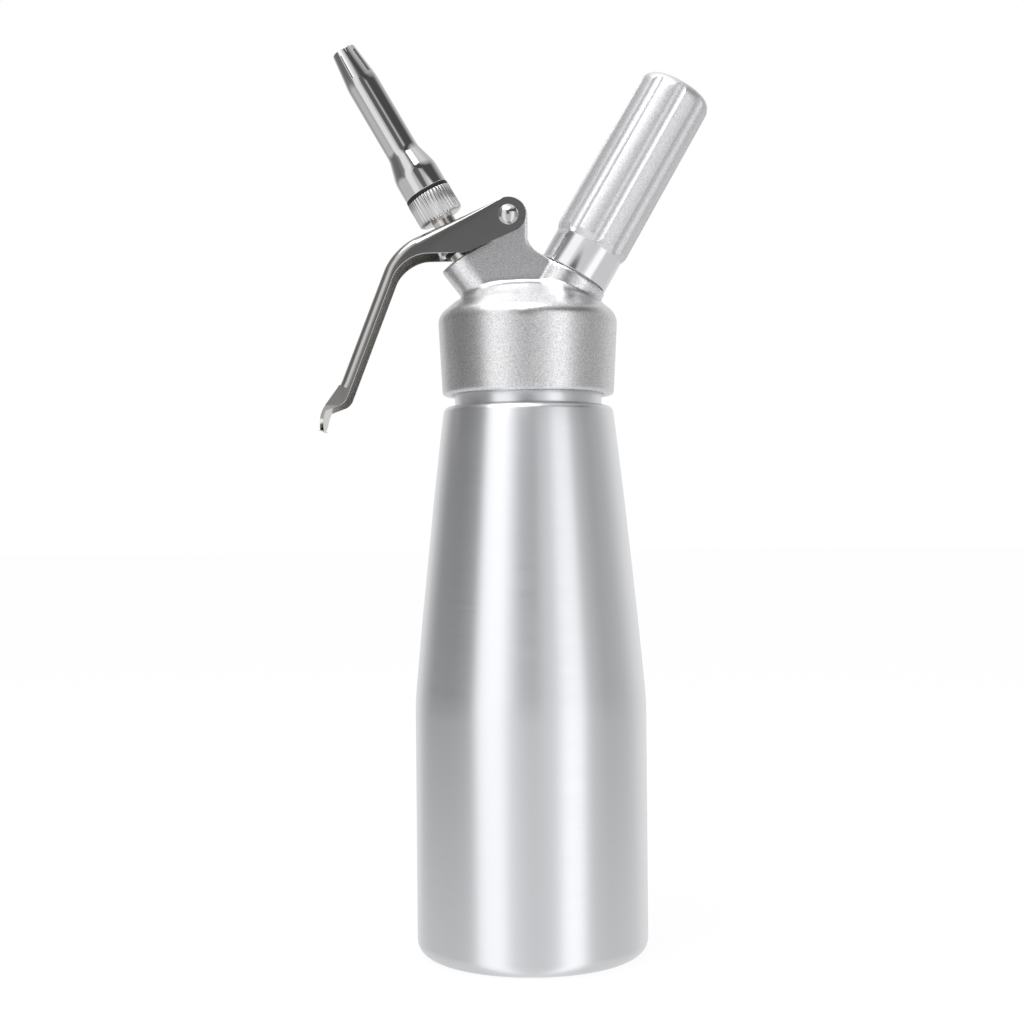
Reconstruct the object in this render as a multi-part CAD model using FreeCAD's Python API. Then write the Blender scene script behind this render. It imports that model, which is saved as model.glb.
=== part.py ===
import FreeCAD, Part
import math
import os

V = FreeCAD.Vector
os.makedirs("parts", exist_ok=True)

# Frame: origin at the centre of the bottle's base, +Z up, the lever and nozzle towards -X,
# the charger holder towards +X. All sizes are in millimetres.

# Bottle: one spun aluminium vessel with a rolled shoulder and a threaded neck.
bottle_radius = 40.0
bottle_wall = 1.5
base_corner = 5.0
base_thickness = 3.0
straight_height = 83.5
blend_height = 8.0
taper_start_slope = 0.085
taper_end_slope = 0.125
shoulder_height = 189.0
taper_height = 97.5
shoulder_round = 5.0
shoulder_round_in = 1.1
shoulder_round_up = 0.62
neck_radius = 25.5
neck_bore_radius = 22.0
neck_thread_radius = 26.3
neck_plain_height = 5.5
neck_thread_height = 13.0
neck_lip_height = 2.5
neck_lip_radius = 25.2

# Head: one aluminium casting with a threaded skirt, a domed top and a flat fin.
skirt_gap = 3.7
skirt_bottom_radius = 29.7
skirt_top_radius = 31.1
skirt_height = 26.3
skirt_shoulder_round = 5.5
skirt_edge_round = 1.2
dome_edge_radius = 26.7
thread_gap = 0.15
gasket_thickness = 1.8
gasket_gap = 0.2
chamber_radius = 21.0
chamber_height = 7.7
fin_half_thickness = 9.6
fin_corner_round = 6.0
fin_foot_rise = 1.0
fin_foot_inset = 3.0
fin_far_inset = 1.0
root_fillet = 2.0
rim_round = 1.0
boss_root_drop = 12.0
holder_root_along = 25.0
shoulder_rise = 1.5
shoulder_inset = 3.0
shoulder_crown = 6.2
dome_base_rise = 2.0
dome_edge_rise = 4.9
dome_top_rise = 13.8
dome_middle_drop = 0.27
boss_depth = 22.0
boss_draft_angle = 18.6
seat_pocket_start = 5.0
check_pocket_start = 6.0
holder_boss_start = 10.0

# Valve: it slides along the nozzle axis, which leans away from the bottle's axis.
nozzle_tilt = 30.0
nozzle_axis_rise = 14.7
boss_face = 42.7
boss_radius = 9.6
running_gap = 0.06
fixed_gap = 0.02
stem_radius = 3.0
stem_hub_radius = 4.5
stem_upper_radius = 4.0
stem_bore_radius = 1.8
stem_inner_end = 15.2
stem_shoulder = 38.0
stem_top = 71.0
stem_port_radius = 1.1
stem_port_rise = 0.7
stem_bore_sump = 0.5
flange_radius = 7.0
flange_thickness = 1.2
flange_top = 47.8
flange_collar_radius = 4.8
flange_collar_height = 1.6
wiper_radius = 5.8
wiper_thickness = 1.0
seat_face = 22.0
seat_pocket_radius = 6.0
valve_seal_radius = 5.2
valve_seal_thickness = 1.9
valve_washer_radius = 4.6
valve_washer_thickness = 1.0
valve_nut_flats = 8.0
valve_nut_thickness = 3.0
seal_gap = 0.05
flow_chamber_radius = 4.2
flow_chamber_length = 5.5
oring_section_radius = 0.9
oring_squeeze_gap = 0.05
oring_land = 0.4
spring_seat = 28.8
spring_pocket_radius = 6.0
spring_wire = 0.8
spring_mean_radius = 4.5
spring_turns = 4
guide_bush_radius = 6.5
guide_bush_length = 4.5
guide_bush_rim_radius = 7.4
guide_bush_rim = 0.3

# Nozzle: a polished steel tip screwed on a knurled collar, with a black ring between them.
collar_bottom = 58.8
collar_length = 9.6
collar_radius = 8.1
collar_bevel = 0.6
collar_spigot_radius = 6.4
collar_spigot_length = 5.4
collar_outlet_radius = 3.2
nozzle_ring_thickness = 1.2
nozzle_ring_radius = 8.0
nozzle_ring_gap = 0.15
nozzle_length = 56.9
nozzle_socket_radius = 7.9
nozzle_socket_length = 7.5
nozzle_flare_length = 8.3
nozzle_tube_radius = 5.7
nozzle_tube_wall = 0.9
nozzle_tip_radius = 4.2
nozzle_tip_length = 13.0
nozzle_slots = 5
nozzle_slot_width = 1.3
nozzle_slot_length = 11.0
nozzle_slot_turn = -23.0
nozzle_pitch_gap = 0.2
nozzle_inner_drop = 0.5
nozzle_rim_round = 0.3
nozzle_socket_round = 6.0
nozzle_flare_round = 8.0
nozzle_tip_round = 12.0

# Lever: one stamped U-channel of stainless sheet, open towards the bottle.
pivot_x = -6.4
pivot_rise = 65.1
lever_sheet = 1.2
lever_side_gap = 0.3
lever_end_radius = 6.0
lever_top_slope = 23.4
lever_bend_x = -46.1
lever_bend_radius = 20.0
lever_handle_slope = 68.7
lever_handle_length = 50.4
lever_kick_slope = 54.0
lever_kick_length = 11.5
lever_kick_radius = 14.0
lever_tip_slope = 82.0
lever_tip_length = 6.3
lever_tip_radius = 9.0
lever_tip_corner = 8.5
lever_flange_depth = 3.7
lever_cheek_reach = 16.8
lever_throat_drop = 0.4
lever_throat_radius = 13.0
lever_cheek_radius = 6.0
lever_fold_radius = 2.0
lever_tongue_inset = 0.7
lever_web_start = 9.5
lever_slot_half_width = 4.8
lever_slot_front = 7.0
lever_slot_back = 6.0
lever_slot_below = 14.0
lever_slot_above = 4.0
lever_rim_share = 0.35
lever_rim_inset = 1.6
lever_rim_drop = 4.6
lever_rim_round = 2.2
rivet_radius = 2.5
rivet_head_radius = 3.5
rivet_head_height = 1.9
rivet_head_gap = 0.05
lug_radius = 6.6
press_pin_radius = 1.3
press_pin_offset = -6.3
press_pin_gap = 0.1
press_pin_end_inset = 0.2
press_pin_bore_radius = 0.45

# Charger holder: a fluted aluminium sleeve over a steel gas charger.
holder_tilt = 30.0
holder_axis_rise = 18.0
holder_boss_face = 31.7
holder_boss_radius = 12.9
holder_gap = 0.3
holder_length = 75.0
holder_band_radius = 12.5
holder_band_length = 11.3
holder_flare_length = 2.5
holder_grip_low_radius = 13.3
holder_grip_top_radius = 12.9
holder_end_round = 4.5
holder_flutes = 9
holder_flute_radius = 2.9
holder_flute_depth = 0.95
holder_flute_start = 1.6
holder_flute_turn = 5.0
holder_thread_radius = 10.6
holder_thread_depth = 11.0
stud_length = 10.0
stud_bore_radius = 4.75
stud_bore_floor = 29.0
charger_radius = 9.3
charger_length = 65.0
charger_neck_radius = 4.4
charger_neck_length = 11.0
charger_shoulder_length = 7.0
charger_gap = 0.3
charger_seal_thickness = 2.0
charger_seal_bore = 1.6
carrier_thickness = 3.5
carrier_key_depth = 1.2
carrier_key_width = 1.0
pin_radius = 1.2
pin_stalk_radius = 0.95
pin_stalk_gap = 0.03
pin_bore_radius = 0.4
pin_length = 4.4
pin_point = 2.0
pin_tip_radius = 0.15
pin_foot_rise = 0.3
pin_room_gap = 0.1
pin_room_end = 0.3
gas_bore_radius = 1.2
check_face = 19.0
check_pocket_radius = 5.0
check_disc_radius = 4.2
check_disc_thickness = 1.2
check_retainer_thickness = 2.3
check_hole_radius = 0.8
check_holes = 6
check_hole_reach = 3.1

# Worked-out places shared by several pieces.
taper_top = straight_height + taper_height
nozzle_axis_height = shoulder_height + nozzle_axis_rise
holder_axis_height = shoulder_height + holder_axis_rise
pivot_z = shoulder_height + pivot_rise
neck_thread_start = shoulder_height + neck_plain_height
neck_lip_start = neck_thread_start + neck_thread_height
neck_top = neck_lip_start + neck_lip_height
skirt_bottom = shoulder_height + skirt_gap
skirt_top = skirt_bottom + skirt_height
gasket_bottom = neck_top
gasket_top = gasket_bottom + gasket_thickness
chamber_top = gasket_top + chamber_height
flange_bottom = flange_top - flange_thickness
collar_top = collar_bottom + collar_length
nozzle_bottom = collar_top + nozzle_ring_thickness
nozzle_top = nozzle_bottom + nozzle_length
flow_chamber_top = seat_face + flow_chamber_length
oring_height = flow_chamber_top - oring_section_radius - oring_land
oring_mean_radius = flow_chamber_radius - oring_section_radius
bush_bottom = boss_face - guide_bush_length
lever_inner = fin_half_thickness + lever_side_gap
lever_outer = lever_inner + lever_sheet
press_pin_height = flange_top + press_pin_gap + press_pin_radius
holder_bottom = holder_boss_face + holder_gap
holder_top = holder_bottom + holder_length
seal_bottom = stud_bore_floor + carrier_thickness
charger_bottom = seal_bottom + charger_seal_thickness
charger_top = charger_bottom + charger_length
stud_top = holder_boss_face + stud_length


def line(a, b):
    return Part.makeLine(V(*a), V(*b))


def arc(a, middle, b):
    return Part.Arc(V(*a), V(*middle), V(*b)).toShape()


def flat(x, z):
    return (x, 0.0, z)


def outline(points, closed=True):
    """A wire in the XZ plane through (x, z, radius) points, where radius 0 is a sharp corner."""
    corners = []
    count = len(points)
    for index, (x, z, radius) in enumerate(points):
        here = V(x, 0, z)
        ends = not closed and index in (0, count - 1)
        if radius == 0 or ends:
            corners.append((here, None, here))
            continue
        before = V(points[index - 1][0], 0, points[index - 1][1])
        after = V(points[(index + 1) % count][0], 0, points[(index + 1) % count][1])
        back = (before - here).normalize()
        ahead = (after - here).normalize()
        half = back.getAngle(ahead) / 2
        reach = radius / math.tan(half)
        bisector = (back + ahead).normalize()
        middle = here + bisector * (radius / math.sin(half) - radius)
        corners.append((here + back * reach, middle, here + ahead * reach))
    edges = []
    for index, (start, middle, end) in enumerate(corners):
        if middle is not None:
            edges.append(Part.Arc(start, middle, end).toShape())
        if not closed and index == count - 1:
            break
        following = corners[(index + 1) % count][0]
        if (following - end).Length > 1e-6:
            edges.append(Part.makeLine(end, following))
    return Part.Wire(edges)


def turned(edges):
    """A solid of revolution about Z from the edges of a closed half-section in the XZ plane."""
    return Part.Face(Part.Wire(edges)).revolve(V(0, 0, 0), V(0, 0, 1), 360)


def turned_outline(points):
    return Part.Face(outline(points)).revolve(V(0, 0, 0), V(0, 0, 1), 360)


def plate(wire, half_width):
    """A flat outline in the XZ plane thickened to both sides of it."""
    face = Part.Face(wire)
    face.translate(V(0, -half_width, 0))
    return face.extrude(V(0, 2 * half_width, 0))


def rod(radius, bottom, top):
    return Part.makeCylinder(radius, top - bottom, V(0, 0, bottom))


def tube(outer, inner, bottom, top):
    return rod(outer, bottom, top).cut(rod(inner, bottom, top))


def crosswise(radius, half_length, x, z):
    """A round bar parallel to Y, centred on the XZ plane."""
    return Part.makeCylinder(radius, 2 * half_length, V(x, -half_length, z), V(0, 1, 0))


def on_nozzle_axis(shape):
    placed = shape.copy()
    placed.rotate(V(0, 0, 0), V(0, 1, 0), -nozzle_tilt)
    placed.translate(V(0, 0, nozzle_axis_height))
    return placed


def on_holder_axis(shape):
    placed = shape.copy()
    placed.rotate(V(0, 0, 0), V(0, 1, 0), holder_tilt)
    placed.translate(V(0, 0, holder_axis_height))
    return placed


def nozzle_point(along, across):
    lean = math.radians(nozzle_tilt)
    x = -math.sin(lean) * along + math.cos(lean) * across
    z = nozzle_axis_height + math.cos(lean) * along + math.sin(lean) * across
    return x, z


def holder_point(along, across):
    lean = math.radians(holder_tilt)
    x = math.sin(lean) * along + math.cos(lean) * across
    z = holder_axis_height + math.cos(lean) * along - math.sin(lean) * across
    return x, z


def save(name, shape):
    solids = shape.Solids
    result = solids[0] if len(solids) == 1 else Part.makeCompound(solids)
    result.exportStep("parts/" + name + ".step")


# Bottle
def bottle_side():
    """The wall's outer side above the straight body: a short blend, then a long slow curve."""
    blend_top = straight_height + blend_height
    blend_radius = bottle_radius - blend_height * taper_start_slope / 2
    middle_slope = (taper_start_slope + taper_end_slope) / 2
    rise = taper_top - blend_top
    top_radius = blend_radius - rise * middle_slope
    half_radius = blend_radius - rise / 2 * (taper_start_slope + middle_slope) / 2
    half_height = blend_top + rise / 2
    quarter_blend = bottle_radius - blend_height * taper_start_slope / 8
    blend = arc(
        flat(bottle_radius, straight_height),
        flat(quarter_blend, straight_height + blend_height / 2),
        flat(blend_radius, blend_top),
    )
    taper = arc(flat(blend_radius, blend_top), flat(half_radius, half_height), flat(top_radius, taper_top))
    return blend, taper, top_radius, half_radius, half_height


def make_bottle():
    blend, taper, top_radius, half_radius, half_height = bottle_side()
    round_drop = shoulder_height - taper_top
    round_x = top_radius - shoulder_round * (1 - math.cos(math.radians(60)))
    diagonal = math.sqrt(0.5)
    body = turned([
        line(flat(0, neck_top), flat(0, 0)),
        line(flat(0, 0), flat(bottle_radius - base_corner, 0)),
        arc(
            flat(bottle_radius - base_corner, 0),
            flat(bottle_radius - base_corner * (1 - diagonal), base_corner * (1 - diagonal)),
            flat(bottle_radius, base_corner),
        ),
        line(flat(bottle_radius, base_corner), flat(bottle_radius, straight_height)),
        blend,
        taper,
        arc(
            flat(top_radius, taper_top),
            flat(top_radius - shoulder_round_in, taper_top + round_drop * shoulder_round_up),
            flat(round_x, shoulder_height),
        ),
        line(flat(round_x, shoulder_height), flat(neck_radius, shoulder_height)),
        line(flat(neck_radius, shoulder_height), flat(neck_radius, neck_thread_start)),
        line(flat(neck_radius, neck_thread_start), flat(neck_thread_radius, neck_thread_start)),
        line(flat(neck_thread_radius, neck_thread_start), flat(neck_thread_radius, neck_lip_start)),
        line(flat(neck_thread_radius, neck_lip_start), flat(neck_lip_radius, neck_lip_start)),
        line(flat(neck_lip_radius, neck_lip_start), flat(neck_lip_radius, neck_top)),
        line(flat(neck_lip_radius, neck_top), flat(0, neck_top)),
    ])
    inner_top = top_radius - bottle_wall
    floor = base_thickness
    inner_radius = bottle_radius - bottle_wall
    inner_corner = base_corner - bottle_wall
    neck_blend = shoulder_height - bottle_wall
    hollow = turned([
        line(flat(0, floor), flat(inner_radius - inner_corner, floor)),
        arc(
            flat(inner_radius - inner_corner, floor),
            flat(inner_radius - inner_corner * (1 - diagonal), floor + inner_corner * (1 - diagonal)),
            flat(inner_radius, floor + inner_corner),
        ),
        line(flat(inner_radius, floor + inner_corner), flat(inner_radius, straight_height)),
        line(flat(inner_radius, straight_height), flat(half_radius - bottle_wall, half_height)),
        line(flat(half_radius - bottle_wall, half_height), flat(inner_top, taper_top)),
        line(flat(inner_top, taper_top), flat(neck_bore_radius, neck_blend)),
        line(flat(neck_bore_radius, neck_blend), flat(neck_bore_radius, neck_top)),
        line(flat(neck_bore_radius, neck_top), flat(0, neck_top)),
        line(flat(0, neck_top), flat(0, floor)),
    ])
    return body.cut(hollow)


# Head casting
def make_skirt_and_dome():
    rim = outline([
        (0, skirt_top + dome_base_rise, 0),
        (0, skirt_bottom, 0),
        (skirt_bottom_radius, skirt_bottom, skirt_edge_round),
        (skirt_top_radius, skirt_top + shoulder_rise, skirt_shoulder_round),
        (dome_edge_radius - shoulder_inset, skirt_top + shoulder_crown, 0),
    ])
    skirt = Part.Face(rim).revolve(V(0, 0, 0), V(0, 0, 1), 360)
    dome_top = skirt_top + dome_top_rise
    dome_base = skirt_top + dome_base_rise
    dome_edge = skirt_top + dome_edge_rise
    dome = turned([
        line(flat(0, dome_top), flat(0, dome_base)),
        line(flat(0, dome_base), flat(dome_edge_radius, dome_base)),
        line(flat(dome_edge_radius, dome_base), flat(dome_edge_radius, dome_edge)),
        arc(
            flat(dome_edge_radius, dome_edge),
            flat(dome_edge_radius / 2, dome_top - (dome_top - dome_edge) * dome_middle_drop),
            flat(0, dome_top),
        ),
    ])
    return skirt.fuse(dome)


def make_fin():
    lean = math.radians(holder_tilt)
    right_x = pivot_x + lug_radius
    boss_x, boss_z = nozzle_point(boss_face, boss_radius)
    inner_x, inner_z = nozzle_point(boss_face, 0)
    foot_x, foot_z = nozzle_point(boss_face - boss_depth, 0)
    slope_x, slope_z = holder_point(holder_boss_face, -holder_boss_radius)
    far_x, far_z = holder_point(holder_boss_face, holder_boss_radius - fin_far_inset)
    corner_z = slope_z + (slope_x - right_x) * math.tan(lean)
    low = skirt_top + fin_foot_rise
    wire = outline([
        (right_x, pivot_z, 0),
        (right_x, corner_z, fin_corner_round),
        (far_x, far_z, 0),
        (far_x - fin_foot_inset, low, 0),
        (foot_x, low, 0),
        (inner_x, inner_z, 0),
        (boss_x, boss_z, 0),
        (boss_x, pivot_z, 0),
    ])
    fin = plate(wire, fin_half_thickness)
    return fin.fuse(crosswise(lug_radius, fin_half_thickness, pivot_x, pivot_z))


def make_nozzle_boss():
    centre_x, centre_z = nozzle_point(boss_face, 0)
    lean = math.radians(nozzle_tilt)
    axis = V(-math.sin(lean), 0, math.cos(lean))
    disc = Part.Face(Part.Wire(Part.makeCircle(boss_radius, V(centre_x, 0, centre_z), axis)))
    draft = math.radians(boss_draft_angle)
    return disc.extrude(V(math.sin(draft), 0, -math.cos(draft)) * boss_depth)


def make_head_bores():
    bore = rod(neck_thread_radius + thread_gap, skirt_bottom - 1, gasket_top)
    chamber = rod(chamber_radius, gasket_top - 1, chamber_top)
    seat = on_nozzle_axis(rod(seat_pocket_radius, seat_pocket_start, seat_face))
    flow = on_nozzle_axis(rod(flow_chamber_radius, seat_face - 1, flow_chamber_top))
    land = on_nozzle_axis(rod(stem_radius + running_gap, flow_chamber_top - 1, spring_seat + 1))
    pocket = on_nozzle_axis(rod(spring_pocket_radius, spring_seat, bush_bottom + 1))
    bush_seat = on_nozzle_axis(rod(guide_bush_radius, bush_bottom, boss_face + 1))
    stud_bore = on_holder_axis(rod(stud_bore_radius, stud_bore_floor, stud_top + 1))
    gas_bore = on_holder_axis(rod(gas_bore_radius, check_face - 1, stud_bore_floor + 1))
    check_pocket = on_holder_axis(rod(check_pocket_radius, check_pocket_start, check_face))
    pivot_bore = crosswise(rivet_radius + running_gap, 2 * fin_half_thickness, pivot_x, pivot_z)
    valve_bores = [seat, flow, land, pocket, bush_seat]
    return [bore, chamber] + valve_bores + [stud_bore, gas_bore, check_pocket, pivot_bore]


def edges_near(body, spot):
    """The body's edge whose middle is nearest to the spot, and its mirror image across the fin."""
    found = []
    for side in (1, -1):
        aim = V(spot[0], side * spot[1], spot[2])
        edges = [edge for edge in body.Edges if edge.Length > 1]
        middles = [edge.valueAt((edge.FirstParameter + edge.LastParameter) / 2) for edge in edges]
        gaps = [(middle - aim).Length for middle in middles]
        nearest = edges[gaps.index(min(gaps))]
        if not any(nearest.isSame(edge) for edge in found):
            found.append(nearest)
    return found


def soften_casting(body):
    """Fillets at the roots of the bosses, and cast rounding on the fin's rim and the bosses' faces."""
    draft = math.radians(boss_draft_angle)
    lip_x, lip_z = nozzle_point(boss_face, -boss_radius)
    boss_root = (lip_x + boss_root_drop * math.sin(draft), 0, lip_z - boss_root_drop * math.cos(draft))
    root_x, root_z = holder_point(holder_root_along, 0)
    face_x, face_z = holder_point(holder_boss_face, 0)
    body = body.makeFillet(root_fillet, edges_near(body, (root_x, holder_boss_radius, root_z)))
    body = body.makeFillet(root_fillet, edges_near(body, boss_root))
    fin_rim = (pivot_x + lug_radius, fin_half_thickness, pivot_z - lug_radius / 2)
    body = body.makeFillet(rim_round, edges_near(body, fin_rim))
    body = body.makeFillet(rim_round, edges_near(body, (lip_x, 0, lip_z)))
    body = body.makeFillet(rim_round, edges_near(body, (face_x, holder_boss_radius, face_z)))
    return body


def make_head():
    holder_boss = on_holder_axis(rod(holder_boss_radius, holder_boss_start, holder_boss_face))
    stud = on_holder_axis(rod(holder_thread_radius - thread_gap, holder_boss_face - 1, stud_top))
    body = make_skirt_and_dome()
    body = body.fuse([make_fin(), make_nozzle_boss(), holder_boss]).removeSplitter()
    body = soften_casting(body).fuse(stud)
    for cutter in make_head_bores():
        body = body.cut(cutter)
    return body


def make_head_gasket():
    return tube(neck_thread_radius - gasket_gap, neck_bore_radius - gasket_gap, gasket_bottom, gasket_top)


# Valve
def make_valve_stem():
    stem = turned_outline([
        (0, stem_inner_end, 0),
        (stem_radius, stem_inner_end, 0),
        (stem_radius, stem_shoulder, 0),
        (stem_hub_radius, stem_shoulder, 0),
        (stem_hub_radius, flange_bottom, 0),
        (flange_radius, flange_bottom, 0.3),
        (flange_radius, flange_top, 0.3),
        (flange_collar_radius, flange_top, 0),
        (flange_collar_radius, flange_top + flange_collar_height, 0),
        (stem_upper_radius, flange_top + flange_collar_height, 0),
        (stem_upper_radius, stem_top, 0.5),
        (0, stem_top, 0),
    ])
    port_height = seat_face + stem_port_radius + stem_port_rise
    reach = 2 * stem_radius
    port = Part.makeCylinder(stem_port_radius, 2 * reach, V(-reach, 0, port_height), V(1, 0, 0))
    bore = rod(stem_bore_radius, port_height - stem_port_radius - stem_bore_sump, stem_top + 1)
    groove = Part.makeTorus(oring_mean_radius, oring_section_radius, V(0, 0, oring_height))
    return stem.cut([bore, port, groove])


def make_stem_oring():
    section = oring_section_radius - oring_squeeze_gap
    return Part.makeTorus(oring_mean_radius, section, V(0, 0, oring_height))


def hexagon(flats, bottom, top):
    corner = flats / math.sqrt(3)
    angles = [math.radians(60 * index) for index in range(7)]
    points = [V(corner * math.cos(angle), corner * math.sin(angle), bottom) for angle in angles]
    return Part.Face(Part.makePolygon(points)).extrude(V(0, 0, top - bottom))


def make_valve_end():
    """Rubber seal, washer and nut on the stem's inner end, in the order in which they are stacked."""
    hole = stem_radius + fixed_gap
    seal_top = seat_face - seal_gap
    seal_bottom_z = seal_top - valve_seal_thickness
    washer_bottom = seal_bottom_z - valve_washer_thickness
    nut_bottom = washer_bottom - valve_nut_thickness
    seal = tube(valve_seal_radius, hole, seal_bottom_z, seal_top)
    washer = tube(valve_washer_radius, hole, washer_bottom, seal_bottom_z)
    nut = hexagon(valve_nut_flats, nut_bottom, washer_bottom).cut(rod(hole, nut_bottom, washer_bottom))
    return seal, washer, nut


def make_guide_bush():
    sleeve = rod(guide_bush_radius, bush_bottom, boss_face)
    rim = rod(guide_bush_rim_radius, boss_face, boss_face + guide_bush_rim)
    bore = rod(stem_hub_radius + running_gap, bush_bottom - 1, boss_face + 1)
    return sleeve.fuse(rim).removeSplitter().cut(bore)


def make_wiper():
    return tube(wiper_radius, stem_hub_radius + fixed_gap, flange_bottom - wiper_thickness, flange_bottom)


def tangent_arc(start, direction, end):
    """The arc that leaves start along direction and reaches end."""
    chord = end - start
    unit = V(chord).normalize()
    side = direction - unit * direction.dot(unit)
    if side.Length < 1e-9:
        return Part.makeLine(start, end)
    turn = direction.getAngle(chord)
    sagitta = chord.Length / 2 * math.tan(turn / 2)
    middle = start + chord * 0.5 + side.normalize() * sagitta
    return Part.Arc(start, middle, end).toShape()


def biarc(start, leaving, end, arriving):
    """Two arcs that join start to end with the given directions at both."""
    span = end - start
    sum_directions = leaving + arriving
    spread = 2 * (1 - leaving.dot(arriving))
    across = span.dot(sum_directions)
    reach = (-across + math.sqrt(across * across + spread * span.dot(span))) / spread
    join = (start + leaving * reach + end - arriving * reach) * 0.5
    first = tangent_arc(start, leaving, join)
    second = tangent_arc(end, arriving * -1, join)
    return [first, second]


def make_spring():
    """A round-wire spring whose ends turn to stand square on the faces that they press on."""
    lift = spring_wire * 1.25
    bottom = spring_seat
    coil_bottom = bottom + spring_wire + lift
    coil_top = stem_shoulder - spring_wire - lift
    pitch = (coil_top - coil_bottom) / spring_turns
    steps = spring_turns * 2
    slope = math.atan2(pitch, 2 * math.pi * spring_mean_radius)

    def place(step):
        angle = math.pi * step
        height = coil_bottom + pitch * step / 2
        return V(spring_mean_radius * math.cos(angle), spring_mean_radius * math.sin(angle), height)

    def heading(step):
        angle = math.pi * step
        flat_part = math.cos(slope)
        return V(-math.sin(angle) * flat_part, math.cos(angle) * flat_part, math.sin(slope))

    up = V(0, 0, 1)
    first = place(0)
    last = place(steps)
    foot_top = first - heading(0) * lift - up * lift
    head_bottom = last + heading(steps) * lift + up * lift
    foot = V(foot_top.x, foot_top.y, bottom)
    head = V(head_bottom.x, head_bottom.y, stem_shoulder)
    edges = [Part.makeLine(foot, foot_top), tangent_arc(foot_top, up, first)]
    for step in range(steps):
        edges += biarc(place(step), heading(step), place(step + 1), heading(step + 1))
    edges += [tangent_arc(last, heading(steps), head_bottom), Part.makeLine(head_bottom, head)]
    path = Part.Wire(edges)
    section = Part.Wire(Part.makeCircle(spring_wire / 2, foot, up))
    sweep = Part.BRepOffsetAPI.MakePipeShell(path)
    sweep.add(section)
    sweep.build()
    sweep.makeSolid()
    print("spring: least gap between turns", round(pitch * math.cos(slope) - spring_wire, 2), "mm")
    return sweep.shape()


# Nozzle
def make_collar():
    body = turned_outline([
        (0, collar_bottom, 0),
        (collar_radius - collar_bevel, collar_bottom, 0),
        (collar_radius, collar_bottom + collar_bevel, 0),
        (collar_radius, collar_top - collar_bevel / 2, 0),
        (collar_radius - collar_bevel / 2, collar_top, 0),
        (collar_spigot_radius, collar_top, 0),
        (collar_spigot_radius, collar_top + collar_spigot_length, 0.4),
        (0, collar_top + collar_spigot_length, 0),
    ])
    stem_hole = rod(stem_upper_radius + fixed_gap, collar_bottom - 1, stem_top)
    outlet = rod(collar_outlet_radius, stem_top - 1, collar_top + collar_spigot_length + 1)
    return body.cut(stem_hole.fuse(outlet))


def make_nozzle_ring():
    return tube(nozzle_ring_radius, collar_spigot_radius + nozzle_ring_gap, collar_top, nozzle_bottom)


def make_nozzle():
    socket_top = nozzle_bottom + nozzle_socket_length
    flare_top = socket_top + nozzle_flare_length
    tip_bottom = nozzle_top - nozzle_tip_length
    inner_socket = collar_spigot_radius + nozzle_pitch_gap
    inner_tube = nozzle_tube_radius - nozzle_tube_wall
    inner_tip = nozzle_tip_radius - nozzle_tube_wall
    outer = turned_outline([
        (0, nozzle_bottom, 0),
        (nozzle_socket_radius, nozzle_bottom, nozzle_rim_round),
        (nozzle_socket_radius, socket_top, nozzle_socket_round),
        (nozzle_tube_radius, flare_top, nozzle_flare_round),
        (nozzle_tube_radius, tip_bottom, nozzle_tip_round),
        (nozzle_tip_radius, nozzle_top, nozzle_rim_round),
        (0, nozzle_top, 0),
    ])
    inner = turned_outline([
        (0, nozzle_bottom - 1, 0),
        (inner_socket, nozzle_bottom - 1, 0),
        (inner_socket, socket_top - nozzle_inner_drop, 0),
        (inner_tube, flare_top - nozzle_inner_drop, 0),
        (inner_tube, tip_bottom, 0),
        (inner_tip, nozzle_top + 1, 0),
        (0, nozzle_top + 1, 0),
    ])
    nozzle = outer.cut(inner)
    slots = []
    for index in range(nozzle_slots):
        slot = Part.makeBox(
            2 * nozzle_tube_radius, nozzle_slot_width, nozzle_slot_length + 1,
            V(0, -nozzle_slot_width / 2, nozzle_top - nozzle_slot_length),
        )
        slot.rotate(V(0, 0, 0), V(0, 0, 1), 360.0 * index / nozzle_slots - 90 + nozzle_slot_turn)
        slots.append(slot)
    return nozzle.cut(slots)


# Lever
def lever_path(inset):
    """The outer line of the lever's web from the pivot end to the tip, moved in by inset."""
    top = math.radians(180 + lever_top_slope)
    handle = math.radians(180 + lever_handle_slope)
    kick = math.radians(180 + lever_kick_slope)
    tip = math.radians(180 + lever_tip_slope)
    start_x = pivot_x + lever_end_radius * math.sin(top)
    start_z = pivot_z - lever_end_radius * math.cos(top)
    points = [(start_x, start_z), (lever_bend_x, start_z + (lever_bend_x - start_x) * math.tan(top))]
    runs = [(handle, lever_handle_length), (kick, lever_kick_length), (tip, lever_tip_length)]
    for angle, length in runs:
        x, z = points[-1]
        points.append((x + length * math.cos(angle), z + length * math.sin(angle)))
    angles = [top, handle, kick, tip]
    moved = []
    for index, (x, z) in enumerate(points):
        before = angles[max(index - 1, 0)]
        after = angles[min(index, len(angles) - 1)]
        middle = (before + after) / 2
        shift = inset / math.cos((after - before) / 2)
        moved.append((x - shift * math.sin(middle), z + shift * math.cos(middle)))
    radii = [0, lever_bend_radius - inset, lever_kick_radius + inset, lever_tip_radius - inset, 0]
    return [(x, z, radius) for (x, z), radius in zip(moved, radii)]


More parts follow.
